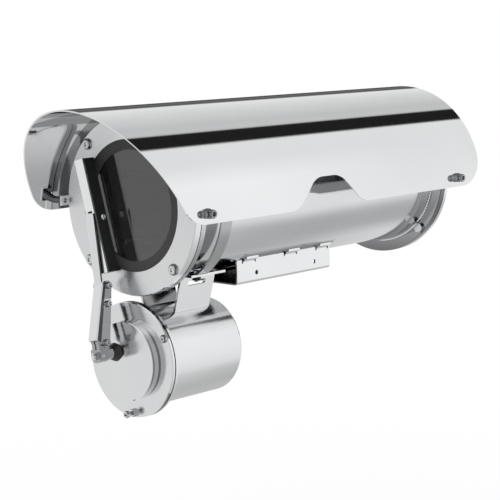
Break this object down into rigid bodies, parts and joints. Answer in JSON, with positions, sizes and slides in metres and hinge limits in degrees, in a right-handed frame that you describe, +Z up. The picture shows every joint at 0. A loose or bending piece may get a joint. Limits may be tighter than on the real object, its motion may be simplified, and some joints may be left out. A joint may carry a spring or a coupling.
{
  "type": "camera housing",
  "caption": "Round stainless outdoor camera housing with a flanged window, arched sunshield, folded base channel, and a window wiper driven from a drum below.",
  "frame": {"origin": "centre of the four mounting holes, on the underside of the base channel", "axes": "+X across, +Y along the tube away from the window, +Z up"},
  "size_m": [0.2382, 0.5412, 0.3143],
  "materials": {
    "satin_steel": "satin, finely brushed",
    "polished_steel": "polished stainless steel",
    "mirror_steel": "mirror polished stainless sheet",
    "fastener_steel": "bright stainless fasteners",
    "black_rubber": "matt black rubber",
    "black_plastic": "satin black moulding",
    "window_glass": "clear flat glass, dark behind",
    "plated_brass": "nickel plated brass",
    "bronze": "plain sintered bronze",
    "cast_aluminium": "satin aluminium",
    "board_green": "green circuit board"
  },
  "bodies": {
    "housing": {"base_channel": "polished_steel", "bracket_plate_left": "polished_steel", "bracket_plate_right": "polished_steel", "camera_screw": "fastener_steel", "camera_sled": "cast_aluminium", "drum_can": "polished_steel", "drum_cover": "polished_steel", "drum_screws": "fastener_steel", "drum_seal": "black_rubber", "drum_stud_nut": "fastener_steel", "flange_screws": "fastener_steel", "front_collar": "polished_steel", "front_flange": "polished_steel", "gearbox": "cast_aluminium", "gearmotor": "satin_steel", "gland_bodies": "plated_brass", "gland_caps": "plated_brass", "gland_plugs": "black_rubber", "housing_tube": "satin_steel", "rear_collar": "polished_steel", "rear_cover": "polished_steel", "rear_cover_nuts": "fastener_steel", "rear_seal": "black_rubber", "shield_lugs": "polished_steel", "shield_nuts": "fastener_steel", "shield_posts": "fastener_steel", "shield_screws": "fastener_steel", "sled_rails": "satin_steel", "sled_screws": "fastener_steel", "spindle_boot": "black_rubber", "spindle_bush": "bronze", "strap": "satin_steel", "strap_bolts": "fastener_steel", "strap_nuts": "fastener_steel", "strap_pads": "black_rubber", "sunshield": "mirror_steel", "terminal_blocks": "black_plastic", "terminal_board": "board_green", "window_gasket": "black_rubber", "window_glass": "window_glass", "window_seal": "black_rubber"},
    "wiper": {"wiper_spindle": "fastener_steel", "spindle_nut": "fastener_steel", "wiper_hub": "polished_steel", "hub_set_screw": "fastener_steel"},
    "arm": {"wiper_arm": "polished_steel", "arm_block": "polished_steel", "arm_screws": "fastener_steel", "arm_nuts": "fastener_steel", "arm_spring": "satin_steel"},
    "blade": {"blade_spine": "polished_steel", "blade_holder": "black_plastic", "blade_lip": "black_rubber", "blade_pin": "fastener_steel", "blade_pin_nut": "fastener_steel"}
  },
  "joints": [
    {"name": "wiper_sweep", "type": "hinge", "parent": "housing", "child": "wiper", "pos_m": [-0.0138, -0.2, -0.0562], "axis": [0, 1, 0], "range_deg": [0, 35]},
    {"name": "arm_lift", "type": "hinge", "parent": "wiper", "child": "arm", "pos_m": [-0.01569, -0.2165, -0.0443], "axis": [0.9877, 0, 0.1564], "range_deg": [0, 45], "stiffness_Nm_per_rad": 0.4, "springref_deg": -28.65},
    {"name": "blade_rock", "type": "hinge", "parent": "arm", "child": "blade", "pos_m": [-0.03505, -0.1965, 0.07798], "axis": [0.9603, 0, 0.279], "range_deg": [0, 4]}
  ],
  "couplings": [
    {"joint": "blade_rock", "follows": "arm_lift", "ratio": 0.08}
  ]
}
